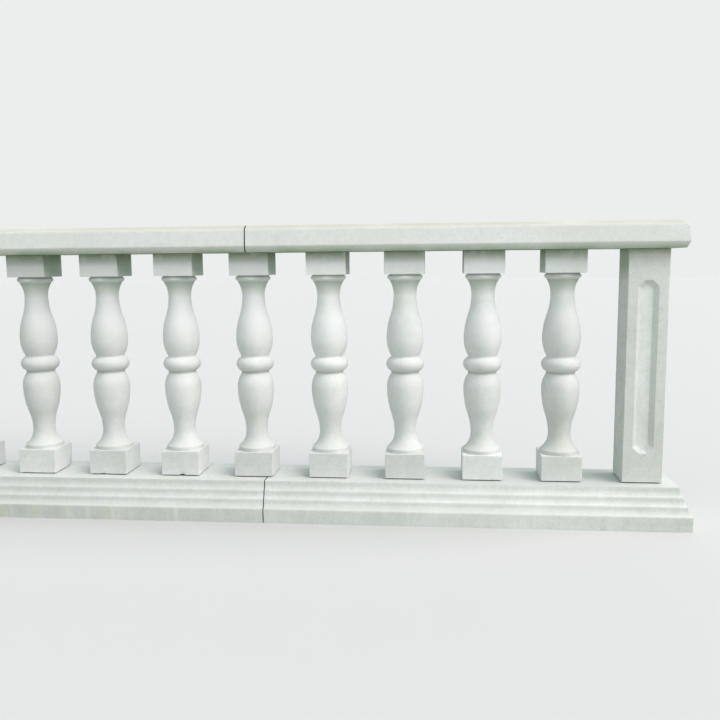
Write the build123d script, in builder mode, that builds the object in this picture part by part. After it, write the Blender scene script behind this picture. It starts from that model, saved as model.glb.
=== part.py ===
from build123d import *
import os

# Garden balustrade of pale dressed stone: a moulded plinth, a row of turned double-bellied
# balusters with square end blocks, a square panelled pier at each end, and a bevelled rail.
# The frame is in millimetres. +X runs along the balustrade, +Y goes from its front to its back
# and +Z is up. The origin is on the ground, under the middle of the run.

# The run: each bay is one stone of rail and one of plinth, with five spaces between centres
bay_count = 3
spaces_per_bay = 5
baluster_spacing = 254

# Plinth, from the ground up: a plain face, then three steps, each a riser over a cove
plinth_top_width = 210
plinth_face_height = 47
lower_step_height = 29
middle_step_height = 27
upper_step_height = 30
lower_step_projection = 14
middle_step_projection = 11
upper_step_projection = 10.5
riser_height = 14
riser_batter = 2
plinth_joint_gap = 3
plinth_joint_offset = 45

# Rail, from its soffit up: an undercut bevel, a battered face, a round nosing and a weathering
rail_width = 216
rail_bevel_height = 20
rail_bevel_depth = 9
rail_face_height = 50
rail_face_batter = 5
nosing_height = 7
nosing_depth = 5
weathering_height = 9
weathering_depth = 15
rail_joint_gap = 3.5

# Mortar bed under each baluster and pier, set back from the faces of the stone
bed_height = 3
bed_setback = 4

# Square end blocks of a baluster
block_width = 130
base_block_height = 82
top_block_height = 74
arris_ease = 2.5

# Turned body between the blocks, each height counted on top of the one before it
collar_height = 15
collar_radius = 62
lower_flare_height = 49
lower_flare_radius = 57
lower_neck_radius = 36.3
lower_flank_height = 152
lower_flank_bend = 0.4
lower_belly_radius = 61.3
lower_shoulder_height = 46
lower_quirk_height = 12
lower_quirk_radius = 47.2
ring_height = 42
ring_radius = 63
upper_quirk_height = 6
upper_quirk_radius = 46.8
upper_shoulder_height = 58
upper_belly_radius = 61.5
upper_flank_height = 144
upper_flank_bend = 0.48
upper_neck_radius = 37.6
upper_flare_height = 48
upper_flare_radius = 52
ovolo_height = 15
ovolo_radius = 58
top_fillet_height = 4

# End pier: a square shaft with a sunk panel on each side, its corners clipped, its sides splayed
pier_width = 126
panel_width = 64
panel_margin = 98
panel_clip = 20
panel_splay = 14
panel_depth = 13

# Heights and places that follow from the sizes above
plinth_height = plinth_face_height + lower_step_height + middle_step_height + upper_step_height
turned_height = (
    collar_height + lower_flare_height + lower_flank_height + lower_shoulder_height
    + lower_quirk_height + ring_height + upper_quirk_height + upper_shoulder_height
    + upper_flank_height + upper_flare_height + ovolo_height + top_fillet_height
)
top_block_foot = bed_height + base_block_height + turned_height
soffit_height = top_block_foot + top_block_height
rail_height = rail_bevel_height + rail_face_height + nosing_height + weathering_height
space_count = bay_count * spaces_per_bay
pier_axis = space_count * baluster_spacing / 2
bay_length = spaces_per_bay * baluster_spacing
joint_axes = [bay * bay_length - pier_axis for bay in range(1, bay_count)]


def plinth_outline(top_half):
    """The plinth's outline on its centre line, top_half from there to its upper arris."""
    steps = (
        (lower_step_height, lower_step_projection),
        (middle_step_height, middle_step_projection),
        (upper_step_height, upper_step_projection),
    )
    out = top_half + sum(projection for _, projection in steps)
    level = plinth_face_height
    with BuildSketch() as outline:
        with BuildLine():
            Polyline((0, 0), (out, 0), (out, level))
            for height, projection in steps:
                arris = (out, level)
                out -= projection
                level += height
                riser_foot = (out + riser_batter, level - riser_height)
                TangentArc(riser_foot, arris, tangent=(0, -1))
                Line(riser_foot, (out, level))
            Line((out, level), (0, level))
            mirror(about=Plane.YZ)
        make_face()
    return outline.sketch


def rail_outline(arris_half):
    """The rail's outline on its centre line, arris_half from there to its lower arris."""
    bevel_foot = (arris_half - rail_bevel_depth, 0)
    lower_arris = (arris_half, rail_bevel_height)
    face_top = (arris_half - rail_face_batter, rail_bevel_height + rail_face_height)
    nosing_top = (face_top[0] - nosing_depth, face_top[1] + nosing_height)
    weathering_top = (nosing_top[0] - weathering_depth, rail_height)
    with BuildSketch() as outline:
        with BuildLine():
            Polyline((0, 0), bevel_foot, lower_arris, face_top)
            TangentArc(face_top, nosing_top, tangent=(-rail_face_batter, rail_face_height))
            Polyline(nosing_top, weathering_top, (0, rail_height))
            mirror(about=Plane.YZ)
        make_face()
    return outline.sketch


def stone_ends(gap, offset, half_length):
    """Where each bay's stone starts and ends, with the gap of a joint between two stones."""
    joints = [axis + offset for axis in joint_axes]
    starts = [-half_length] + [joint + gap / 2 for joint in joints]
    ends = [joint - gap / 2 for joint in joints] + [half_length]
    return list(zip(starts, ends))


def bay_names():
    """A name for each bay from left to right."""
    middle = [f"middle_{bay}" for bay in range(1, bay_count - 1)]
    return ["left"] + (["middle"] if len(middle) == 1 else middle) + ["right"]


os.makedirs("parts", exist_ok=True)

# Plinth: the outline runs the whole length and returns round both ends, so the corners mitre
plinth_half = plinth_top_width / 2
plinth_foot_half = plinth_half + lower_step_projection + middle_step_projection + upper_step_projection
plinth_end = pier_axis + plinth_foot_half
with BuildPart() as plinth:
    with BuildSketch(Plane.YZ.offset(-plinth_end)):
        add(plinth_outline(plinth_half))
    extrude(amount=2 * plinth_end)
    with BuildSketch(Plane.XZ.offset(-plinth_foot_half)):
        add(plinth_outline(pier_axis + plinth_half))
    extrude(amount=2 * plinth_foot_half, mode=Mode.INTERSECT)

for bay, (start, end) in zip(bay_names(), stone_ends(plinth_joint_gap, plinth_joint_offset, plinth_end)):
    with BuildPart() as plinth_stone:
        add(plinth.part)
        split(bisect_by=Plane.YZ.offset(start), keep=Keep.TOP)
        split(bisect_by=Plane.YZ.offset(end), keep=Keep.BOTTOM)
    plinth_stone.part.label = f"plinth_{bay}"
    export_step(plinth_stone.part, f"parts/plinth_{bay}.step")

# Rail: made the same way, on the balusters' top blocks
rail_half = rail_width / 2
rail_end = pier_axis + rail_half
with BuildPart() as rail:
    with BuildSketch(Plane.YZ.offset(-rail_end)):
        add(rail_outline(rail_half))
    extrude(amount=2 * rail_end)
    with BuildSketch(Plane.XZ.offset(-rail_half)):
        add(rail_outline(rail_end))
    extrude(amount=2 * rail_half, mode=Mode.INTERSECT)
rail_seat = Location((0, 0, plinth_height + soffit_height))

for bay, (start, end) in zip(bay_names(), stone_ends(rail_joint_gap, 0, rail_end)):
    with BuildPart() as rail_stone:
        add(rail.part.moved(rail_seat))
        split(bisect_by=Plane.YZ.offset(start), keep=Keep.TOP)
        split(bisect_by=Plane.YZ.offset(end), keep=Keep.BOTTOM)
    rail_stone.part.label = f"rail_{bay}"
    export_step(rail_stone.part, f"parts/rail_{bay}.step")

# Baluster, made once on the plinth at the origin
bed_plane = Plane.XY.offset(plinth_height)
base_block_plane = bed_plane.offset(bed_height)
top_block_plane = bed_plane.offset(top_block_foot)
with BuildPart() as baluster:
    with BuildSketch(base_block_plane):
        Rectangle(block_width, block_width)
    extrude(amount=base_block_height)
    with BuildSketch(top_block_plane):
        Rectangle(block_width, block_width)
    extrude(amount=top_block_height)
    chamfer(baluster.edges(), arris_ease)
    with BuildSketch(bed_plane):
        Rectangle(block_width - 2 * bed_setback, block_width - 2 * bed_setback)
    extrude(amount=bed_height)
    with BuildSketch(Plane.XZ):
        with BuildLine():
            level = plinth_height + bed_height + base_block_height
            Polyline(
                (0, level),
                (collar_radius, level),
                (collar_radius, level + collar_height),
                (lower_flare_radius, level + collar_height),
            )
            lower_neck = Vector(lower_neck_radius, level + collar_height + lower_flare_height)
            TangentArc(lower_neck, (lower_flare_radius, level + collar_height), tangent=(0, -1))
            lower_belly = Vector(lower_belly_radius, lower_neck.Y + lower_flank_height)
            lower_bend = lower_neck + (lower_belly - lower_neck) * lower_flank_bend
            TangentArc(lower_neck, lower_bend, tangent=(0, 1))
            TangentArc(lower_belly, lower_bend, tangent=(0, -1))
            lower_quirk = Vector(lower_quirk_radius, lower_belly.Y + lower_shoulder_height)
            TangentArc(lower_belly, lower_quirk, tangent=(0, 1))
            ring_foot = Vector(lower_quirk_radius, lower_quirk.Y + lower_quirk_height)
            Line(lower_quirk, ring_foot)
            ring_top = Vector(upper_quirk_radius, ring_foot.Y + ring_height)
            ThreePointArc(ring_foot, (ring_radius, ring_foot.Y + ring_height / 2), ring_top)
            upper_quirk = Vector(upper_quirk_radius, ring_top.Y + upper_quirk_height)
            Line(ring_top, upper_quirk)
            upper_belly = Vector(upper_belly_radius, upper_quirk.Y + upper_shoulder_height)
            TangentArc(upper_belly, upper_quirk, tangent=(0, -1))
            upper_neck = Vector(upper_neck_radius, upper_belly.Y + upper_flank_height)
            upper_bend = upper_neck + (upper_belly - upper_neck) * upper_flank_bend
            TangentArc(upper_belly, upper_bend, tangent=(0, 1))
            TangentArc(upper_neck, upper_bend, tangent=(0, -1))
            upper_flare = Vector(upper_flare_radius, upper_neck.Y + upper_flare_height)
            TangentArc(upper_neck, upper_flare, tangent=(0, 1))
            ovolo_top = Vector(ovolo_radius, upper_flare.Y + ovolo_height)
            TangentArc(ovolo_top, upper_flare, tangent=(0, -1))
            head = plinth_height + top_block_foot
            Polyline(ovolo_top, (ovolo_radius, head), (0, head), (0, level))
        make_face()
    revolve(axis=Axis.Z)

for place in range(1, space_count):
    placed = baluster.part.moved(Location((place * baluster_spacing - pier_axis, 0, 0)))
    placed.label = f"baluster_{place:02d}"
    export_step(placed, f"parts/baluster_{place:02d}.step")

# End pier, made once on the plinth at the origin
pier_height = soffit_height - bed_height
panel_height = soffit_height - 2 * panel_margin
with BuildPart() as pier:
    with BuildSketch(base_block_plane):
        Rectangle(pier_width, pier_width)
    extrude(amount=pier_height)
    chamfer(pier.edges(), arris_ease)
    for turn in range(4):
        face = Plane.XZ.rotated((0, 0, 90 * turn))
        face.origin = face.z_dir * pier_width / 2 + Vector(0, 0, plinth_height + soffit_height / 2)
        with BuildSketch(face) as mouth:
            Rectangle(panel_width, panel_height)
            chamfer(mouth.vertices(), panel_clip)
        with BuildSketch(face.offset(-panel_depth)) as floor:
            add(mouth.sketch_local)
            offset(amount=-panel_splay, kind=Kind.INTERSECTION, mode=Mode.REPLACE)
        loft(mode=Mode.SUBTRACT)
    with BuildSketch(bed_plane):
        Rectangle(pier_width - 2 * bed_setback, pier_width - 2 * bed_setback)
    extrude(amount=bed_height)

for side, x in (("left", -pier_axis), ("right", pier_axis)):
    placed = pier.part.moved(Location((x, 0, 0)))
    placed.label = f"end_pier_{side}"
    export_step(placed, f"parts/end_pier_{side}.step")
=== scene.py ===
# %% [markdown]
# # A stone balustrade
# This lesson dresses a garden balustrade of pale cast stone: a moulded plinth, a row of turned
# balusters, a panelled pier at each end, and a bevelled rail. The construction model comes in
# as a fixed frame. Each of its stones is then rebuilt here with worn arrises, uneven faces and
# a weathered finish, and takes the place of the frame's plain stone.

# %% Load the frame
import math
import random

import bmesh
import bpy
from mathutils import Matrix, Vector, noise


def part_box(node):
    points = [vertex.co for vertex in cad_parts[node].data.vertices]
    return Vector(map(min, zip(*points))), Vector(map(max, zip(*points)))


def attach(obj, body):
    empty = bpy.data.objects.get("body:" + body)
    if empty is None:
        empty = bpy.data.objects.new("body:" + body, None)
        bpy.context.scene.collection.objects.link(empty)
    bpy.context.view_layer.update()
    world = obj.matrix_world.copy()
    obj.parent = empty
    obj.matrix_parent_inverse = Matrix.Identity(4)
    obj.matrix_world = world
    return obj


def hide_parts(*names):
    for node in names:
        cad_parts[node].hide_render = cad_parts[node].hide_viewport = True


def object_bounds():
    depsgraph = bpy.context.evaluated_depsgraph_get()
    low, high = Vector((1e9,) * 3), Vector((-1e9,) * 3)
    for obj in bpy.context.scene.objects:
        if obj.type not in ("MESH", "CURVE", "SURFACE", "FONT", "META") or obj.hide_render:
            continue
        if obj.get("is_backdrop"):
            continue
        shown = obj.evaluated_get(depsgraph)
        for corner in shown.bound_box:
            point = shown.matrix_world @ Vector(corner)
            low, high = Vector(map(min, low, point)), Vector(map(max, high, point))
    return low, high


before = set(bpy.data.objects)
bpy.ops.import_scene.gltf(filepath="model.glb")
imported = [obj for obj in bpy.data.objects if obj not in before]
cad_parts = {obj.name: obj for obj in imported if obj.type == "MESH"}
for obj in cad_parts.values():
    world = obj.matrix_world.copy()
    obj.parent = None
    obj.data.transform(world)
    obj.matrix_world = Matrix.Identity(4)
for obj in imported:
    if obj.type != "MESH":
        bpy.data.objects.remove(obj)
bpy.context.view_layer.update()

# %% [markdown]
# ## The camera
# The photograph was taken from about eye height when kneeling, a little right of the middle,
# looking slightly down. A camera's place and turn can be found by moving it until known
# corners of the object fall on the right pixels. Here a fit on the corners of the blocks gave
# the numbers, so the camera is simply put there. A camera looks along its own -Z, so it is
# first tipped up from looking straight down, and then turned about the upright axis.

# %% Place the camera
eye = bpy.data.cameras.new("garden_camera")
eye.sensor_width = 36
eye.lens = 38.365
camera = bpy.data.objects.new("garden_camera", eye)
bpy.context.scene.collection.objects.link(camera)
stand = Matrix.Translation((1.2324, -2.5376, 0.8457))
turned_left = Matrix.Rotation(math.radians(5.414), 4, "Z")
tipped_up = Matrix.Rotation(math.radians(90 - 7.199), 4, "X")
rolled = Matrix.Rotation(math.radians(-0.558), 4, "Z")
camera.matrix_world = stand @ turned_left @ tipped_up @ rolled
bpy.context.scene.camera = camera
print("camera at", tuple(camera.matrix_world.translation))

# %% [markdown]
# ## The light
# In the garden a bright sky stands to the right of the run, and a weaker, lower light comes in
# from the front. A studio could copy that with softboxes. Sun lamps with a wide angle do the
# same over the whole four metres without fading along the run. Each is given by its bearing,
# counted from the front towards the right, and by how many degrees up it stands. A third one
# stands behind and only keeps the back of the run from going dark.

# %% Light the scene
scene = bpy.context.scene
scene.view_settings.view_transform = "Standard"


def soft_light(name, bearing, up, energy, width, colour):
    """A sun lamp of a wide angle; bearing, up and width are in degrees."""
    data = bpy.data.lights.new(name, "SUN")
    data.energy = energy
    data.angle = math.radians(width)
    data.color = colour
    lamp = bpy.data.objects.new(name, data)
    scene.collection.objects.link(lamp)
    level = math.cos(math.radians(up))
    towards = Vector((
        math.sin(math.radians(bearing)) * level,
        -math.cos(math.radians(bearing)) * level,
        math.sin(math.radians(up)),
    ))
    lamp.rotation_euler = towards.to_track_quat("Z", "Y").to_euler()
    print(name, "stands", up, "degrees up")


soft_light("bright_sky", bearing=74, up=46, energy=4.25, width=60, colour=(1.0, 0.915, 0.915))
soft_light("low_fill", bearing=-15, up=28, energy=0.75, width=90, colour=(1.0, 0.97, 0.91))
soft_light("back_fill", bearing=165, up=25, energy=0.6, width=60, colour=(0.97, 1.0, 0.99))


# %% [markdown]
# ## Small helpers for node trees
# A finish is a tree of nodes. Adding each node by hand takes three or four lines, so one small
# helper adds a node, sets its options and fills its inputs, either with a plain value or with
# the output of an earlier node. Others mix two colours by a share, multiply a colour by a
# level, do a sum, join two shares or stretch a range of values. The Mix node keeps its colour
# sockets behind its number sockets, so they are found by their numbers.

# %% Add and fill a node
def fill(tree, socket, value):
    """Links a socket to another node's output, or sets its plain value."""
    if isinstance(value, bpy.types.NodeSocket):
        tree.links.new(value, socket)
    else:
        socket.default_value = value


def put(tree, kind, settings=None, **inputs):
    """Adds a node; each input is named in lower case and holds a value or another node's output."""
    made = tree.nodes.new(kind)
    for name, value in (settings or {}).items():
        setattr(made, name, value)
    for socket in made.inputs:
        key = socket.name.lower().replace(" ", "_")
        if key in inputs:
            fill(tree, socket, inputs.pop(key))
    assert not inputs, inputs
    return made


print("two helpers add and fill nodes")

# %% Mix and multiply in a node tree
def blended(tree, share, first, second, how="MIX"):
    """Mixes two colours by a share and gives the mixed colour."""
    mix = tree.nodes.new("ShaderNodeMix")
    mix.data_type = "RGBA"
    mix.blend_type = how
    fill(tree, mix.inputs[0], share)
    fill(tree, mix.inputs[6], first)
    fill(tree, mix.inputs[7], second)
    return mix.outputs[2]


def toned(tree, colour, level, share=1.0):
    """Multiplies a colour by a level; share says where."""
    return blended(tree, share, colour, level, "MULTIPLY")


def worked(tree, how, first, second=0.0):
    """Does one sum on two numbers and gives the result, kept between 0 and 1."""
    made = tree.nodes.new("ShaderNodeMath")
    made.operation = how
    made.use_clamp = True
    fill(tree, made.inputs[0], first)
    fill(tree, made.inputs[1], second)
    return made.outputs[0]


def both(tree, first, second):
    """The share of two shares together: it is 1 only where both are."""
    return worked(tree, "MULTIPLY", first, second)


def mapped(tree, value, start, end, low=0.0, high=1.0):
    """A level that goes from low to high while a value goes from start to end, and no further."""
    return put(
        tree, "ShaderNodeMapRange", value=value, from_min=start, from_max=end, to_min=low, to_max=high
    ).outputs["Result"]


print("five helpers mix colours and work out shares")

# %% Write a colour
def linear(red, green, blue):
    """A colour as a paint program shows it, from 0 to 255, turned into the shader's own scale."""
    shares = [level / 255 for level in (red, green, blue)]
    return tuple(
        [share / 12.92 if share < 0.04045 else ((share + 0.055) / 1.055) ** 2.4 for share in shares] + [1.0]
    )


print("mid grey is", [round(level, 3) for level in linear(128, 128, 128)[:3]])

# %% [markdown]
# ## The sky and the floor
# The world is a dome that gives even light from everywhere. Its strength follows the height of
# the direction that a ray takes: weak at the horizon and stronger overhead. What the camera
# itself sees behind the object is a plain pale tone, so the world has one strength for light and
# another for the camera's own rays. Ground throws little light back up, so the floor looks pale
# to the camera but is darker to the light that it sends up to the stone. It still takes the
# balustrade's shadow.

# %% Build the sky
def straight_rays(tree):
    """A share that is 1 for the camera's rays, also those by way of a mirror or through glass."""
    seen = put(tree, "ShaderNodeLightPath").outputs
    rays = worked(tree, "ADD", seen["Is Camera Ray"], seen["Is Glossy Ray"])
    return worked(tree, "ADD", rays, seen["Is Transmission Ray"])


sky = bpy.data.worlds.new("open_sky")
scene.world = sky
sky.use_nodes = True
tree = sky.node_tree
tree.nodes.clear()
direction = put(tree, "ShaderNodeTexCoord").outputs["Generated"]
height = put(tree, "ShaderNodeSeparateXYZ", vector=direction).outputs["Z"]
sky_level = mapped(tree, height, 0.0, 1.0, 0.39, 0.58)
dome = put(tree, "ShaderNodeBackground", color=linear(224, 249, 255), strength=sky_level)
backdrop = put(tree, "ShaderNodeBackground", color=linear(236, 238, 238), strength=1.0)
either = put(tree, "ShaderNodeMixShader", fac=straight_rays(tree))
tree.links.new(dome.outputs[0], either.inputs[1])
tree.links.new(backdrop.outputs[0], either.inputs[2])
put(tree, "ShaderNodeOutputWorld", surface=either.outputs[0])
print("sky has", len(tree.nodes), "nodes")

# %% Lay the floor
floor_mesh = bmesh.new()
bmesh.ops.create_circle(floor_mesh, cap_ends=True, segments=96, radius=40)
floor_data = bpy.data.meshes.new("pale_floor")
floor_mesh.to_mesh(floor_data)
floor_mesh.free()
floor = bpy.data.objects.new("pale_floor", floor_data)
scene.collection.objects.link(floor)
floor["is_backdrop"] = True

floor_finish = bpy.data.materials.new("pale_floor")
floor_finish.use_nodes = True
tree = floor_finish.node_tree
shader = tree.nodes["Principled BSDF"]
floor_colour = blended(tree, straight_rays(tree), linear(150, 156, 148), linear(188, 189, 188))
tree.links.new(floor_colour, shader.inputs["Base Color"])
shader.inputs["Roughness"].default_value = 1.0
floor_data.materials.append(floor_finish)
print("floor is", round(floor.dimensions.x), "m across")

# %% [markdown]
# ## The heights of the run
# The run lies along X, with its middle at 0, and its front looks towards -Y. Every height is
# counted up from the ground, in metres, as in the construction model. Stains and shapes start
# and end at the same arrises, so the finishes and the stones share these values.

# %% Heights of the run
FOOT_TOP = 0.047
PLINTH_TOP = 0.133
BLOCK_FOOT = 0.136
COLLAR_FOOT = 0.218
HEAD_FOOT = 0.809
SOFFIT = 0.883
RAIL_ARRIS = 0.903
NOSING_FOOT = 0.953
NOSING_TOP = 0.960
RAIL_TOP = 0.969


# %% [markdown]
# ## The stone
# The balustrade is cast stone: crushed pale stone and white cement, rammed in a mould and
# rubbed. Near to, it has a fine sandy grain, small open pores and a soft mottling a hand wide.
# Painted images could show that, but noise needs no files and has no seams. It reads Object
# coordinates, and the objects sit at the origin, so every stone cuts its own part out of one
# large pattern, as real stones differ from each other.

# %% Mottling and grain
def cloud(tree, place, scale, detail, roughness=0.5):
    """Soft noise on the stone; a larger scale gives smaller spots."""
    return put(
        tree, "ShaderNodeTexNoise", vector=place, scale=scale, detail=detail, roughness=roughness
    ).outputs["Fac"]


def stone_finish(name, colour, shade):
    """Starts a cast stone finish; gives its tree, the place on the stone, and its mottled colour."""
    finish = bpy.data.materials.new(name)
    finish.use_nodes = True
    tree = finish.node_tree
    place = put(tree, "ShaderNodeTexCoord").outputs["Object"]
    broad = cloud(tree, place, 7.0, 5.0, 0.6)
    close = cloud(tree, place, 48.0, 6.0, 0.7)
    grain = cloud(tree, place, 260.0, 3.0, 0.8)
    mottled = blended(tree, mapped(tree, broad, 0.32, 0.68), shade, colour)
    mottled = toned(tree, mottled, mapped(tree, close, 0.3, 0.7, 0.93, 1.035))
    mottled = toned(tree, mottled, mapped(tree, grain, 0.3, 0.7, 0.9, 1.06))
    return finish, tree, place, mottled, grain, close


print("stone starts with three sizes of noise")

# %% Pores and bump
def close_finish(tree, place, colour, grain, close):
    """Adds the pores and the bump, and joins it all to the shader."""
    shader = tree.nodes["Principled BSDF"]
    cells = put(tree, "ShaderNodeTexVoronoi", vector=place, scale=150.0).outputs["Distance"]
    chosen = mapped(tree, cloud(tree, place, 60.0, 2.0), 0.55, 0.62)
    pore = both(tree, mapped(tree, cells, 0.07, 0.2, 1.0, 0.0), chosen)
    colour = blended(tree, both(tree, pore, 0.45), colour, linear(120, 126, 112))
    tree.links.new(colour, shader.inputs["Base Color"])
    tree.links.new(mapped(tree, close, 0.3, 0.7, 0.78, 0.95), shader.inputs["Roughness"])
    shader.inputs["Specular IOR Level"].default_value = 0.3
    skin = put(tree, "ShaderNodeBump", strength=0.35, distance=0.0012, height=close).outputs[0]
    sand = put(
        tree, "ShaderNodeBump", strength=0.4, distance=0.0006, height=grain, normal=skin
    ).outputs[0]
    pits = put(
        tree, "ShaderNodeBump", {"invert": True}, strength=0.6, distance=0.001, height=pore, normal=sand
    ).outputs[0]
    tree.links.new(pits, shader.inputs["Normal"])


print("stone ends with pores and three bumps")

# %% [markdown]
# ## Stains, bands and stripes
# Outdoors the stone picks up a grey-green film where rain stays. A stain is a second colour that
# covers a share of the stone, broken up by noise. Where it lies is a matter of place: damp
# climbs under the rail, dust lies on a ledge. A mask could be painted for that. A band does it
# with two numbers: it is a level that changes between two places on an axis. Two bands of
# height, one that climbs and one that falls, make a stripe.

# %% Stains, bands and stripes
def stained(tree, place, colour, stain, share, scale, low, high):
    """Lays a stain over a colour, broken up by noise; share says how strong it is where."""
    cover = mapped(tree, cloud(tree, place, scale, 6.0, 0.65), low, high)
    return blended(tree, both(tree, cover, share), colour, stain)


def band(tree, place, axis, start, end, low=0.0, high=1.0):
    """A level that goes from low to high between two places on an axis of the stone."""
    spot = put(tree, "ShaderNodeSeparateXYZ", vector=place).outputs[axis]
    return mapped(tree, spot, start, end, low, high)


def height_band(tree, place, low, high):
    """A share that climbs from 0 to 1 between two heights, or falls where low is above high."""
    return band(tree, place, "Z", low, high)


def stripe(tree, place, climb, fall, strength):
    """A share that climbs between two heights and falls between two others."""
    share = both(tree, height_band(tree, place, *climb), height_band(tree, place, *fall))
    return both(tree, share, strength)


print("stains, bands and stripes are ready")

# %% [markdown]
# ## Painted shade on the right end
# The right end of the run faces the bright sky lamp, so its end faces get a darker colour all
# over: painted shade that keeps them from turning white. Pier, plinth and rail stand out as far
# past the pier's middle as they do to the front. So on an end face the distance from the pier's
# middle along X is larger than the one along Y, and a comparison of the two finds all the end
# faces.

# %% Painted shade on the right end
PIER_MIDDLE = 1.905


def end_painted_shade(tree, place, colour, where=1.0, painted_shade=linear(196, 199, 192)):
    """Darkens the faces that look out of the run's right end: painted shade against the bright lamp."""
    spot = put(tree, "ShaderNodeSeparateXYZ", vector=place).outputs
    along = worked(tree, "SUBTRACT", spot["X"], PIER_MIDDLE)
    ahead = worked(tree, "SUBTRACT", along, worked(tree, "ABSOLUTE", spot["Y"]))
    share = mapped(tree, ahead, 0.0, 0.002, 0.0, 0.8)
    return blended(tree, both(tree, share, where), colour, painted_shade)


print("the end film starts past", PIER_MIDDLE, "m")

# %% [markdown]
# ## Finish of the rail
# The rail is the cleanest stone, because rain washes its faces: pale, with a grey-green film on
# the undercut, darker downwards, which is a damp stain and also painted shade under the face,
# and a yellowish grey one on its weathered top.

# %% Finish of the rail
rail_finish, tree, place, colour, grain, close = stone_finish(
    "rail_stone", linear(224, 224, 222), linear(215, 216, 213)
)
colour = toned(tree, colour, band(tree, place, "X", -0.3, 1.5, 1.0, 1.07))
# A grey-green film on the undercut, darker downwards: a damp stain, and painted shade.
undercut = height_band(tree, place, RAIL_ARRIS + 0.003, SOFFIT + 0.001)
colour = stained(tree, place, colour, linear(152, 166, 142), undercut, scale=6.0, low=0.2, high=0.62)
upper = height_band(tree, place, NOSING_FOOT, NOSING_TOP)
colour = stained(tree, place, colour, linear(183, 183, 172), upper, scale=14.0, low=0.05, high=0.4)
colour = stained(tree, place, colour, linear(206, 208, 199), 0.5, scale=3.5, low=0.5, high=0.7)
# Painted shade on the rail's end faces, up to the nosing.
colour = end_painted_shade(tree, place, colour, height_band(tree, place, NOSING_TOP, NOSING_TOP - 0.010))
close_finish(tree, place, colour, grain, close)
print("rail finish has", len(tree.nodes), "nodes")

# %% [markdown]
# ## Finish of the balusters and piers
# The turned stones are a shade greyer. Two soft bands of height lift the tone of their bellies, the
# upper ones most: painted light. The flare at the foot is darker: painted shade.
# The quirk below the ring is darkened as painted shadow of the ring, and the neck under the head
# as painted shade.
# Each cast differs a little in tone, which an attribute of the mesh carries, together with
# painted light and shade.
#
# Under the rail the top blocks and the heads of the piers hold a green film that climbs them,
# darker towards the rail: a damp stain, and painted shade under the rail. Their sides get more
# painted shade: these lie nearer to the middle line than the front and back faces, so the Y
# coordinate tells them apart. The piers have neither the bellies' painted light nor the flare's
# painted shade, but their upper half is painted paler, as painted light against the shade under
# the rail. The floors of their panels are painted paler than the shaft, as painted light in the
# sunk panel; the splayed sides have a finish of their own, of about the shaft's tone.

# %% Tones of a turned stone
def turned_tones(tree, place, colour):
    """Painted light on a turned stone's bellies; painted shade on its flare, in its quirk and on its neck.
    """
    # Painted light: two bands of height lift the tone of the bellies, the upper one most.
    lower_belly = both(tree, height_band(tree, place, 0.26, 0.38), 0.32)
    upper_belly = both(tree, height_band(tree, place, 0.5, 0.66), 0.42)
    colour = blended(tree, lower_belly, colour, linear(238, 238, 238))
    colour = blended(tree, upper_belly, colour, linear(242, 242, 243))
    # The tone attribute also holds painted light and shade.
    tone = put(tree, "ShaderNodeAttribute", {"attribute_name": "stone_tone"}).outputs["Fac"]
    colour = toned(tree, colour, tone)
    # Painted shade on the upward face of the flare at the foot.
    flare = stripe(tree, place, climb=(COLLAR_FOOT, 0.220), fall=(0.285, 0.235), strength=0.6)
    colour = blended(tree, flare, colour, linear(205, 208, 203))
    # Painted shadow of the ring, in the quirk below it.
    quirk = stripe(tree, place, climb=(0.480, 0.485), fall=(0.491, 0.487), strength=0.45)
    colour = blended(tree, quirk, colour, linear(128, 134, 122))
    # Painted shade on the neck, under the head block.
    neck = stripe(tree, place, climb=(0.738, 0.784), fall=(0.791, 0.789), strength=0.75)
    return blended(tree, neck, colour, linear(172, 183, 168))


print("tones of the turned stones are ready")

# %% Finish of the balusters and piers
def upright_finish(name, colour, shade, turned, film_and_shade_from):
    """Finish of a stone between plinth and rail; its last argument is where stain and painted shade begin.
    """
    finish, tree, place, colour, grain, close = stone_finish(name, colour, shade)
    if turned:
        colour = turned_tones(tree, place, colour)
    else:
        # Painted light: a pier's upper half is painted paler, against the shade under the rail.
        colour = toned(tree, colour, band(tree, place, "Z", 0.49, 0.785, 1.0, 1.12))
    # Painted shade on the sides of the head blocks and pier heads, under the rail.
    front = band(tree, place, "Y", -0.056, -0.0615)
    back = band(tree, place, "Y", 0.056, 0.0615)
    inner = worked(tree, "SUBTRACT", worked(tree, "SUBTRACT", 1.0, front), back)
    painted_side_shade = both(tree, both(tree, height_band(tree, place, 0.78, 0.83), inner), 0.75)
    colour = blended(tree, painted_side_shade, colour, linear(172, 184, 170))
    # A green film, darker towards the rail: a damp stain, and painted shade under the rail.
    damp_and_painted_shade = both(tree, height_band(tree, place, film_and_shade_from, SOFFIT + 0.005), 0.95)
    colour = stained(tree, place, colour, linear(122, 139, 108), damp_and_painted_shade, scale=16.0, low=0.15, high=0.5)
    colour = stained(tree, place, colour, linear(198, 201, 190), 0.4, scale=5.0, low=0.5, high=0.72)
    # Painted shade on the end faces of the right pier.
    if not turned:
        colour = end_painted_shade(tree, place, colour)
    close_finish(tree, place, colour, grain, close)
    print(name, "has", len(tree.nodes), "nodes")
    return finish


baluster_finish = upright_finish(
    "baluster_stone", linear(220, 221, 220), linear(206, 208, 206), turned=True, film_and_shade_from=0.843
)
pier_finish = upright_finish(
    "pier_stone", linear(219, 220, 217), linear(205, 207, 203), turned=False, film_and_shade_from=0.862
)
# Painted light: the panel floors are paler than the shaft, against the shade in the sunk panel.
panel_painted_light = upright_finish(
    "panel_stone", linear(236, 237, 234), linear(222, 224, 220), turned=False, film_and_shade_from=0.862
)
splay_finish = upright_finish(
    "splay_stone", linear(218, 220, 217), linear(207, 209, 206), turned=False, film_and_shade_from=0.862
)
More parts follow.
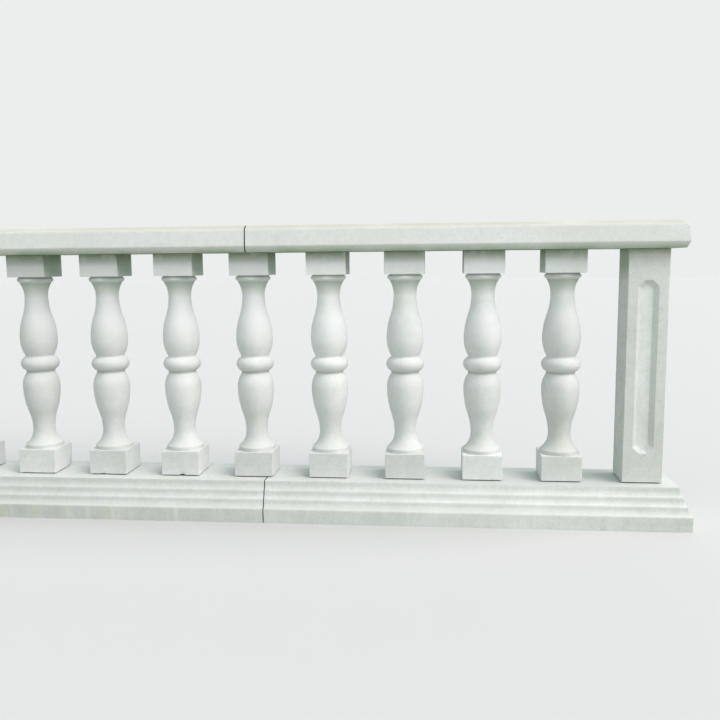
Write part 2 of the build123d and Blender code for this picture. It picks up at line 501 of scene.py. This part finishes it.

# %% [markdown]
# ## Finish of the plinth
# The plinth stands in wet ground. Its top holds dust and film, more of it towards the right
# end, and pale and yellowish stains run down its lowest face, which is bleached. Noise that is
# drawn out along Z looks like streaks, so the streaks read a stretched copy of the place.
# The moulded sides are a little paler towards the right, so bands along X set their tone. On
# the right end the mouldings get more painted shade than the plain foot does.

# %% Tones of the plinth
plinth_finish, tree, place, colour, grain, close = stone_finish(
    "plinth_stone", linear(213, 215, 212), linear(203, 206, 202)
)
sides = height_band(tree, place, PLINTH_TOP - 0.0005, PLINTH_TOP - 0.0012)
colour = toned(tree, colour, band(tree, place, "X", -0.1, 1.6, 0.91, 1.10), sides)
colour = toned(tree, colour, band(tree, place, "X", 1.6, 1.95, 1.0, 0.91), sides)
top = height_band(tree, place, PLINTH_TOP - 0.0012, PLINTH_TOP - 0.0005)
dust = both(tree, top, band(tree, place, "X", 0.8, 1.9))
colour = blended(tree, dust, colour, linear(188, 192, 188))
foot = height_band(tree, place, FOOT_TOP + 0.0015, FOOT_TOP - 0.0005)
colour = toned(tree, colour, band(tree, place, "X", 0.5, 1.6, 0.97, 1.07), foot)
# Painted shade on the lower part of the lowest hollow, above the foot.
ledge = stripe(tree, place, climb=(0.046, 0.0475), fall=(0.062, 0.049), strength=0.55)
colour = blended(tree, ledge, colour, linear(193, 197, 192))
print("plinth has tones for its sides, top, foot and lowest ledge")

# %% Stains of the plinth
drawn = put(tree, "ShaderNodeMapping", vector=place, scale=(1.0, 1.0, 0.12)).outputs["Vector"]
leftwards = both(tree, foot, band(tree, place, "X", 0.9, 0.5, 0.0, 0.6))
colour = stained(tree, drawn, colour, linear(206, 205, 186), leftwards, scale=24.0, low=0.5, high=0.7)
colour = stained(tree, drawn, colour, linear(236, 236, 232), leftwards, scale=15.0, low=0.52, high=0.7)
rightwards = both(tree, foot, band(tree, place, "X", 1.5, 1.8, 0.0, 0.5))
colour = stained(tree, place, colour, linear(176, 180, 176), rightwards, scale=20.0, low=0.52, high=0.7)
colour = stained(tree, drawn, colour, linear(196, 202, 190), 0.3, scale=40.0, low=0.5, high=0.75)
# Painted shade on the plinth's end faces, darker on the mouldings above the foot.
colour = end_painted_shade(tree, place, colour, sides)
ledges = both(tree, height_band(tree, place, FOOT_TOP, FOOT_TOP + 0.002), sides)
colour = end_painted_shade(tree, place, colour, ledges, linear(172, 177, 170))
close_finish(tree, place, colour, grain, close)
print("plinth finish has", len(tree.nodes), "nodes")

# %% [markdown]
# ## Finish of the mortar
# Each baluster and pier stands on a thin bed of mortar, coarser than the stone, and painted dark:
# painted shade in the narrow joint. The faces inside the open joints of plinth and rail get the
# same dark finish, painted shade in the joints.

# %% Finish of the mortar
# Dark mortar: painted shade in the narrow beds and joints.
mortar_and_painted_shade, tree, place, colour, grain, close = stone_finish(
    "bed_mortar", linear(60, 63, 56), linear(46, 48, 43)
)
close_finish(tree, place, colour, grain, close)
print("mortar finish has", len(tree.nodes), "nodes")


# %% [markdown]
# ## Wearing the stone
# A mould gives crisp stones, and weather takes them back. A Bevel modifier alone would round
# every arris alike. Here the mesh is first cut fine enough, and then each point is moved a
# little inwards along its normal: everywhere by a slow noise, so the faces aren't dead flat,
# and along the arrises by a quick noise above a threshold, which leaves small chips. Moving
# only inwards keeps the stone within its frame. The noise reads the point's place, so each
# stone wears in its own way, and the same way on every run.

# %% Wear a stone
HOLLOW_SCALE = 16
CHIP_SCALE = 34
CRUMB_SCALE = 110
ELSEWHERE = Vector((7, 3, 5))
ARRIS_FROM = 0.004


def sharpness(vert):
    """How far the faces round a point turn away from its normal, from 0 on a flat face."""
    return 1 - min(face.normal.dot(vert.normal) for face in vert.link_faces)


def wear(stone, hollow, chip, chip_from=0.45):
    """Moves the points of a stone inwards: shallow hollows everywhere, chips on its arrises."""
    stone.normal_update()
    moves = []
    for vert in stone.verts:
        spot = vert.co
        slow = 0.5 + 0.5 * noise.noise(spot * HOLLOW_SCALE)
        depth = hollow * slow
        edge = sharpness(vert)
        if edge > ARRIS_FROM:
            quick = noise.noise(spot * CHIP_SCALE + ELSEWHERE) + 0.5 * noise.noise(spot * CRUMB_SCALE)
            depth += chip * min(1.0, max(0.0, quick - chip_from) * 3) * min(1.0, edge * 12)
        moves.append(depth)
    for vert, depth in zip(stone.verts, moves):
        vert.co -= vert.normal * depth


def knock(stone, spot, reach, depth):
    """Dents a stone round a spot where something hard has struck it."""
    for vert in stone.verts:
        near = max(0.0, 1 - (vert.co - spot).length / reach)
        vert.co -= vert.normal * depth * near


print("stones can be worn and knocked")

# %% Cut and set a stone
def sliced(stone, axis, start, stop, step):
    """Cuts a stone across one axis so that no face is longer that way than about a step."""
    count = max(1, round((stop - start) / step))
    across = Vector((0, 0, 0))
    across[axis] = 1
    for cut in range(1, count):
        spot = across * (start + (stop - start) * cut / count)
        everything = stone.verts[:] + stone.edges[:] + stone.faces[:]
        bmesh.ops.bisect_plane(stone, geom=everything, plane_co=spot, plane_no=across, dist=1e-6)


def set_stone(stone, name, node, slot, crease, *finishes):
    """Turns a finished bmesh into an object that takes the place of a node of the frame."""
    bmesh.ops.recalc_face_normals(stone, faces=stone.faces)
    data = bpy.data.meshes.new(name)
    stone.to_mesh(data)
    data.shade_smooth()
    data.set_sharp_from_angle(angle=math.radians(crease))
    for finish in finishes:
        data.materials.append(finish)
    piece = bpy.data.objects.new(name, data)
    bpy.context.scene.collection.objects.link(piece)
    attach(piece, "root")
    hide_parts(node)
    return piece


print("stones can be cut fine and set in their places")

# %% [markdown]
# ## A square block
# At its foot and head a baluster is a square block. A block could be a cube with a Bevel
# modifier. It starts as a cube here too, but its arrises are eased with the bevel operator and
# the faces are cut into a fine grid, so that the wear has points to move.

# %% Make the square blocks
BLOCK_WIDTH = 0.130
BED_SETBACK = 0.008
EASE = 0.0016


def square_block(width, foot, top, ease, step):
    """A square block on the Z axis, from its foot to its top."""
    block = bmesh.new()
    bmesh.ops.create_cube(block, size=1)
    bmesh.ops.scale(block, vec=(width, width, top - foot), verts=block.verts)
    bmesh.ops.translate(block, vec=(0, 0, (foot + top) / 2), verts=block.verts)
    bmesh.ops.bevel(
        block, geom=block.edges[:], offset=ease, segments=2, affect="EDGES", profile=0.5, material=-1
    )
    half = width / 2 - ease
    sliced(block, 0, -half, half, step)
    sliced(block, 1, -half, half, step)
    sliced(block, 2, foot + ease, top - ease, step)
    return block


def mortar_bed(stone_width):
    """A thin bed, set back from the faces of its stone, that reaches a little into both stones."""
    width = stone_width - 2 * BED_SETBACK
    return square_block(width, PLINTH_TOP - 0.0005, BLOCK_FOOT + 0.001, ease=0.0005, step=0.02)


base_block = square_block(BLOCK_WIDTH, BLOCK_FOOT, COLLAR_FOOT, EASE, step=0.0065)
head_block = square_block(BLOCK_WIDTH, HEAD_FOOT, SOFFIT, EASE, step=0.0065)
print("a block has", len(base_block.faces), "faces")


# %% [markdown]
# ## The turned body
# Between the blocks the stone is round, so one outline spun about the upright axis makes it.
# A Bezier curve and a Screw modifier would do as well. The mason's drawing is a string of arcs,
# and each arc stands upright at a neck or a belly, so a helper walks along such an arc from its
# upright end. The two arcs of a flank meet where they lean alike, at a given share of the way
# from neck to belly.

# %% Walk along an arc
def arc_from_upright(start, end, count=10):
    """Points on an arc that is upright at its start, not counting the start itself."""
    rise = end[1] - start[1]
    run = end[0] - start[0]
    radius = (rise * rise + run * run) / (2 * abs(run))
    turn = math.atan2(abs(rise), radius - abs(run))
    points = []
    for step in range(1, count + 1):
        angle = turn * step / count
        out = start[0] + math.copysign(radius * (1 - math.cos(angle)), run)
        points.append((out, start[1] + math.copysign(radius * math.sin(angle), rise)))
    return points


def arc_to_upright(start, end, count=10):
    """The same arc walked the other way, to its upright end."""
    return arc_from_upright(end, start, count)[-2::-1] + [end]


def arc_points(middle, radius, start, end, count):
    """Points on an arc about a middle, between two angles in degrees, both ends counted."""
    turns = [math.radians(start + (end - start) * step / count) for step in range(count + 1)]
    return [(middle[0] + radius * math.cos(turn), middle[1] + radius * math.sin(turn)) for turn in turns]


def flank(neck, belly, share, upwards):
    """Two arcs between a neck and a belly, which meet at a share of the way from the neck."""
    bend = (neck[0] + (belly[0] - neck[0]) * share, neck[1] + (belly[1] - neck[1]) * share)
    if upwards:
        return arc_from_upright(neck, bend, 11) + arc_to_upright(bend, belly, 14)
    return arc_from_upright(belly, bend, 14) + arc_to_upright(bend, neck, 11)


print("a quarter turn has the points", arc_points((0, 0), 1, 0, 90, 2))

# %% [markdown]
# The outline is drawn in millimetres, as how far out and how high up each point lies: the
# collar, the flare to the lower neck, the lower belly, the quirk, the ring, the upper belly,
# the upper neck, the flare to the ovolo, and the notch under the head block.

# %% Draw the baluster's outline
lower_neck = (36.3, 282)
lower_belly = (61.3, 434)
upper_belly = (61.5, 598)
upper_neck = (37.6, 742)
outline = [(0, 217), (62, 217), (62, 221), (62, 225)] + arc_points((57.5, 228.5), 4.5, 0, 80, 5)
outline += arc_to_upright((58, 233.1), lower_neck, 12)
outline += flank(lower_neck, lower_belly, 0.4, True)
outline += arc_from_upright(lower_belly, (47.2, 480), 11)
outline += [(46.5, 483), (46.4, 486), (47.4, 489.2)]
outline += arc_points((36.9, 513), 26.1, -64, 0, 9) + arc_points((40, 513), 23, 6, 70, 8)
outline += [(46.8, 536.6), (46.6, 539.6)]
outline += arc_to_upright((46.8, 540), upper_belly, 12)
outline += flank(upper_neck, upper_belly, 0.48, False)
outline += arc_from_upright(upper_neck, (51.6, 790), 10)
outline += [(51.8, 791.6)] + arc_points((52, 798), 6, -80, 0, 6) + arc_points((54, 801.5), 4, 0, 90, 4)
outline += [(53, 806.4), (53, 810), (0, 810)]
print("the outline has", len(outline), "points")

# %% [markdown]
# The outline becomes a chain of points joined by edges, and the spin operator turns it into a
# closed body. Blocks, body and mortar bed are then put together into one stone, which is the
# pattern for all fourteen.

# %% Spin the body and join the baluster
def turned_body(points, steps):
    """Spins an outline in millimetres about the Z axis into a closed body in metres."""
    body = bmesh.new()
    chain = [body.verts.new((out / 1000, 0, level / 1000)) for out, level in points]
    edges = [body.edges.new(pair) for pair in zip(chain, chain[1:])]
    bmesh.ops.spin(
        body, geom=chain + edges, cent=(0, 0, 0), axis=(0, 0, 1), dvec=(0, 0, 0),
        angle=math.tau, steps=steps, use_merge=True,
    )
    bmesh.ops.remove_doubles(body, verts=body.verts, dist=1e-5)
    bmesh.ops.recalc_face_normals(body, faces=body.faces)
    return body


def joined(*parts):
    """Puts several parts into one bmesh, each with the number of its finish."""
    whole = bmesh.new()
    for part, finish_number in parts:
        for face in part.faces:
            face.material_index += finish_number
        copy = bpy.data.meshes.new("part")
        part.to_mesh(copy)
        part.free()
        whole.from_mesh(copy)
        bpy.data.meshes.remove(copy)
    return whole


baluster = joined(
    (base_block, 0), (head_block, 0), (turned_body(outline, steps=72), 0), (mortar_bed(BLOCK_WIDTH), 1)
)
print("a baluster has", len(baluster.faces), "faces")

# %% [markdown]
# ## Setting the balusters
# Eight of the balusters show in the photograph. Each has its own tones on its base block, on the
# lower neck, the bellies and the upper neck of its turned body, and on its head block. They are
# matched, and an attribute carries them up the mesh. The other stones get theirs by
# chance. Three of the eight have small knocks on their base blocks, whose places are counted
# from the middle of the stone.

# %% Tones and knocks of the balusters
baluster_nodes = sorted(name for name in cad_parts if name.startswith("baluster_"))
chance = random.Random(7)
tones = {node: [chance.uniform(0.9, 1.08) for part in range(5)] for node in baluster_nodes}
# These tones also hold painted light and shade, as the shade on the necks of the left stones.
tones.update({
    "baluster_07": (1.05, 0.96, 0.89, 0.88, 0.77),
    "baluster_08": (1.0, 0.97, 0.95, 0.95, 0.89),
    "baluster_09": (1.06, 1.08, 1.0, 0.97, 0.98),
    "baluster_10": (0.98, 0.99, 0.99, 1.02, 0.91),
    "baluster_11": (1.0, 1.08, 1.04, 1.14, 1.12),
    "baluster_12": (0.93, 1.09, 0.98, 1.17, 1.02),
    "baluster_13": (1.13, 1.06, 1.0, 1.08, 1.06),
    "baluster_14": (1.02, 0.96, 0.94, 1.03, 1.03),
})
knocks = {
    "baluster_07": [((0.065, 0.06, 0.136), 0.038, 0.009)],
    "baluster_08": [((-0.018, -0.065, 0.136), 0.010, 0.003), ((0.054, -0.065, 0.15), 0.007, 0.004)],
    "baluster_09": [((0.006, -0.065, 0.136), 0.012, 0.006)],
}


def tone_at(height, base, low, belly, neck, head):
    """Tone, painted light and shade at a height: one for each block, and slow changes in between."""
    if height < COLLAR_FOOT:
        return base
    if height > HEAD_FOOT:
        return head
    if height < 0.5:
        return low + (belly - low) * min(1.0, max(0.0, (height - 0.28) / 0.15))
    return belly + (neck - belly) * min(1.0, max(0.0, (height - 0.645) / 0.085))


print("halfway up, the first stone's tone is", round(tone_at(0.5, *tones["baluster_01"]), 3))

# %% Set the balusters
for node in baluster_nodes:
    low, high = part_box(node)
    middle = Vector(((low.x + high.x) / 2, 0, 0))
    stone = baluster.copy()
    bmesh.ops.translate(stone, vec=middle, verts=stone.verts)
    wear(stone, hollow=0.0003, chip=0.002)
    for spot, reach, depth in knocks.get(node, []):
        knock(stone, middle + Vector(spot), reach, depth)
    piece = set_stone(stone, "turned_" + node, node, "baluster_stone", 20, baluster_finish, mortar_and_painted_shade)
    tone = piece.data.attributes.new("stone_tone", "FLOAT", "POINT")
    tone.data.foreach_set("value", [tone_at(point.co.z, *tones[node]) for point in piece.data.vertices])
    stone.free()
baluster.free()
print("set", len(baluster_nodes), "balusters")


# %% [markdown]
# ## The end piers
# A pier is a square shaft with a long sunk panel on each side. The panel is made on the shaft's
# own faces: an inset gives its frame, the inner face is stretched to its height, a bevel of the
# corner points clips it, and a second inset sinks the floor and leaves the splayed sides. The
# floor and the splays get finishes of their own.

# %% Make a panelled pier
PIER_WIDTH = 0.126
PANEL_WIDTH = 0.065
PANEL_HEIGHT = 0.554
PANEL_DROP = 0.0015
PANEL_CLIP = 0.020
SPLAY_WIDTH = 0.0155
PANEL_DEPTH = 0.0135


def panelled_pier(step):
    """A square shaft on the Z axis with a sunk, clipped panel on each side."""
    pier = bmesh.new()
    bmesh.ops.create_cube(pier, size=1)
    bmesh.ops.scale(pier, vec=(PIER_WIDTH, PIER_WIDTH, SOFFIT - BLOCK_FOOT), verts=pier.verts)
    outer = pier.edges[:]
    sides = [face for face in pier.faces if abs(face.normal.z) < 0.5]
    margin = (PIER_WIDTH - PANEL_WIDTH) / 2
    bmesh.ops.inset_individual(pier, faces=sides, thickness=margin, depth=0, use_even_offset=True)
    stretch = PANEL_HEIGHT / (SOFFIT - BLOCK_FOOT - 2 * margin)
    corners = list({vert for side in sides for vert in side.verts})
    bmesh.ops.scale(pier, vec=(1, 1, stretch), verts=corners)
    bmesh.ops.translate(pier, vec=(0, 0, -PANEL_DROP), verts=corners)
    bmesh.ops.bevel(
        pier, geom=corners, offset=PANEL_CLIP, segments=1, affect="VERTICES", profile=0.5, material=-1
    )
    mouths = [face for face in pier.faces if len(face.verts) == 8]
    for mouth in mouths:
        mouth.material_index = 2
    sunk = bmesh.ops.inset_individual(
        pier, faces=mouths, thickness=SPLAY_WIDTH, depth=-PANEL_DEPTH, use_even_offset=True
    )
    for splay in sunk["faces"]:
        splay.material_index = 3
    bmesh.ops.bevel(
        pier, geom=outer, offset=EASE, segments=2, affect="EDGES", profile=0.5, material=-1
    )
    bmesh.ops.translate(pier, vec=(0, 0, (SOFFIT + BLOCK_FOOT) / 2), verts=pier.verts)
    half = PIER_WIDTH / 2 - EASE
    sliced(pier, 0, -half, half, step)
    sliced(pier, 1, -half, half, step)
    sliced(pier, 2, BLOCK_FOOT + EASE, SOFFIT - EASE, step)
    bmesh.ops.remove_doubles(pier, verts=pier.verts, dist=5e-5)
    return pier


pier = joined((panelled_pier(step=0.0075), 0), (mortar_bed(PIER_WIDTH), 1))
print("a pier has", len(pier.faces), "faces")

# %% Set the piers
finishes = pier_finish, mortar_and_painted_shade, panel_painted_light, splay_finish
for node in ("end_pier_left", "end_pier_right"):
    low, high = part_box(node)
    stone = pier.copy()
    bmesh.ops.translate(stone, vec=((low.x + high.x) / 2, 0, 0), verts=stone.verts)
    wear(stone, hollow=0.0003, chip=0.002)
    set_stone(stone, "panelled_" + node, node, "baluster_stone", 15, *finishes)
    stone.free()
pier.free()
print("set two piers")


# %% [markdown]
# ## The long courses
# Plinth and rail are mouldings that run the whole length and return round both ends. A profile
# curve swept round a rectangle would make one. Here the course rises from its foot like a stack
# of picture frames: the top face is extruded, lifted and resized for each level of the profile,
# which mitres the corners by itself. Bisecting then parts it into stones and closes each joint
# with a face of the dark mortar finish: painted shade in the joint. The arrises are eased, the
# long faces cut fine, and the stone is worn.
#
# To cut the long faces, the edges along the run are picked by their length. Mitres shorten them
# at an end of the run, though by less than MITRE_REACH. Edges longer than LEAST_DEPTH from
# front to back are cut too, as for a stone that is USUAL_DEPTH deep.

# %% Raise and part a course
def raised_course(levels, half_length, half_depth):
    """A long closed block; each level is a height and how far the face stands back, in mm."""
    course = bmesh.new()
    bmesh.ops.create_grid(course, x_segments=1, y_segments=1, size=1)
    top = course.faces[:][0]
    for number, (level, back) in enumerate(levels):
        if number:
            raised = bmesh.ops.extrude_face_region(course, geom=[top])["geom"]
            old = top
            top = next(item for item in raised if isinstance(item, bmesh.types.BMFace))
            if number > 1:
                bmesh.ops.delete(course, geom=[old], context="FACES_ONLY")
        for vert in top.verts:
            vert.co.x = math.copysign(half_length - back / 1000, vert.co.x)
            vert.co.y = math.copysign(half_depth - back / 1000, vert.co.y)
            vert.co.z = level / 1000
    bmesh.ops.recalc_face_normals(course, faces=course.faces)
    return course


def parted(course, start, end):
    """One stone of a course, cut at two places along X and closed where it is cut."""
    stone = course.copy()
    for place, way in ((start, -1), (end, 1)):
        everything = stone.verts[:] + stone.edges[:] + stone.faces[:]
        cut = bmesh.ops.bisect_plane(
            stone, geom=everything, plane_co=(place, 0, 0), plane_no=(way, 0, 0), clear_outer=True
        )
        rim = [item for item in cut["geom_cut"] if isinstance(item, bmesh.types.BMEdge)]
        if rim:
            # The cut faces take the dark mortar finish: painted shade in the joint.
            bmesh.ops.edgeloop_fill(stone, edges=rim, mat_nr=1)
    return stone


print("courses can be raised and parted")

# %% Ease and cut the stones of a course
MITRE_REACH = 0.09
LEAST_DEPTH = 0.1
USUAL_DEPTH = 0.2


def eased_arrises(stone, heights, ease):
    """Bevels the arrises at some heights and the mitred corners, and leaves the joints sharp."""
    chosen = []
    for edge in stone.edges:
        if any(face.material_index == 1 for face in edge.link_faces):
            continue
        low, high = sorted(vert.co.z for vert in edge.verts)
        if high - low > 1e-6:
            chosen.append(edge)
        elif min(abs(high - height) for height in heights) < 1e-5:
            chosen.append(edge)
    bmesh.ops.bevel(
        stone, geom=chosen, offset=ease, segments=2, affect="EDGES", profile=0.5, material=-1,
        clamp_overlap=True,
    )


def span(edge, axis):
    """How far an edge reaches along an axis."""
    return abs(edge.verts[0].co[axis] - edge.verts[1].co[axis])


def fine_cut(stone, step, rows):
    """Cuts a stone of a course at the heights in rows, then along the run and across it."""
    for level in rows:
        everything = stone.verts[:] + stone.edges[:] + stone.faces[:]
        bmesh.ops.bisect_plane(stone, geom=everything, plane_co=(0, 0, level), plane_no=(0, 0, 1), dist=1e-6)
    longest = max(span(edge, 0) for edge in stone.edges)
    runs = [edge for edge in stone.edges if span(edge, 0) > longest - MITRE_REACH]
    bmesh.ops.subdivide_edges(stone, edges=runs, cuts=round(longest / step))
    crossings = [edge for edge in stone.edges if span(edge, 1) > LEAST_DEPTH]
    bmesh.ops.subdivide_edges(stone, edges=crossings, cuts=round(USUAL_DEPTH / step))


def set_course(kind, course, arrises, ease, rows, finish):
    """Parts a course where the frame's stones meet, and dresses and sets its three stones."""
    for node in (kind + "_left", kind + "_middle", kind + "_right"):
        low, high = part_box(node)
        stone = parted(course, low.x, high.x)
        eased_arrises(stone, arrises, ease)
        fine_cut(stone, 0.011, rows)
        wear(stone, hollow=0.0003, chip=0.0018, chip_from=0.55)
        set_stone(stone, node + "_stone", node, kind + "_stone", 20, finish, mortar_and_painted_shade)
        print(node, "has", len(stone.faces), "faces")
        stone.free()
    course.free()


print("courses can be eased, cut and set")

# %% [markdown]
# The plinth's profile is a plain foot and then three hollows, each of which ends upright at the
# foot of a short riser. Its levels are in millimetres.

# %% Set the plinth
def cove(arris, riser_foot, count=7):
    """The levels of a hollow that leaves an arris and ends upright at the foot of a riser."""
    return [
        (level, back)
        for back, level in arc_to_upright((arris[1], arris[0]), (riser_foot[1], riser_foot[0]), count)
    ]


plinth_levels = [(0, 0), (47, 0)]
plinth_levels += cove((47, 0), (70, 12.8)) + [(76, 14)]
plinth_levels += cove((76, 14), (97, 23.8)) + [(103, 25)]
plinth_levels += cove((103, 25), (126, 34.4)) + [(133, 35.5)]
plinth = raised_course(plinth_levels, half_length=2.0455, half_depth=0.1405)
set_course(
    "plinth", plinth, arrises=(FOOT_TOP, 0.076, 0.103, PLINTH_TOP), ease=0.0008,
    rows=(0.010, 0.020, 0.030, 0.039, 0.072, 0.129), finish=plinth_finish,
)

# %% [markdown]
# The rail's profile is an undercut, a face that leans back slightly, a rounded nosing of four
# short levels, and the weathered slope up to the flat top.

# %% Set the rail
rail_levels = [(883, 9), (903, 0), (953, 5)]
rail_levels += [(955.2, 5.5), (957.2, 6.7), (958.8, 8.2), (960, 10)]
rail_levels += [(964.5, 17.5), (969, 25)]
rail = raised_course(rail_levels, half_length=2.013, half_depth=0.108)
set_course(
    "rail", rail, arrises=(SOFFIT, RAIL_ARRIS, RAIL_TOP), ease=0.0009,
    rows=(0.893, 0.911, 0.919, 0.928, 0.937, 0.946), finish=rail_finish,
)

# %% Print the dressed bounds
low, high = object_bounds()
print("dressed from", tuple(low), "to", tuple(high))
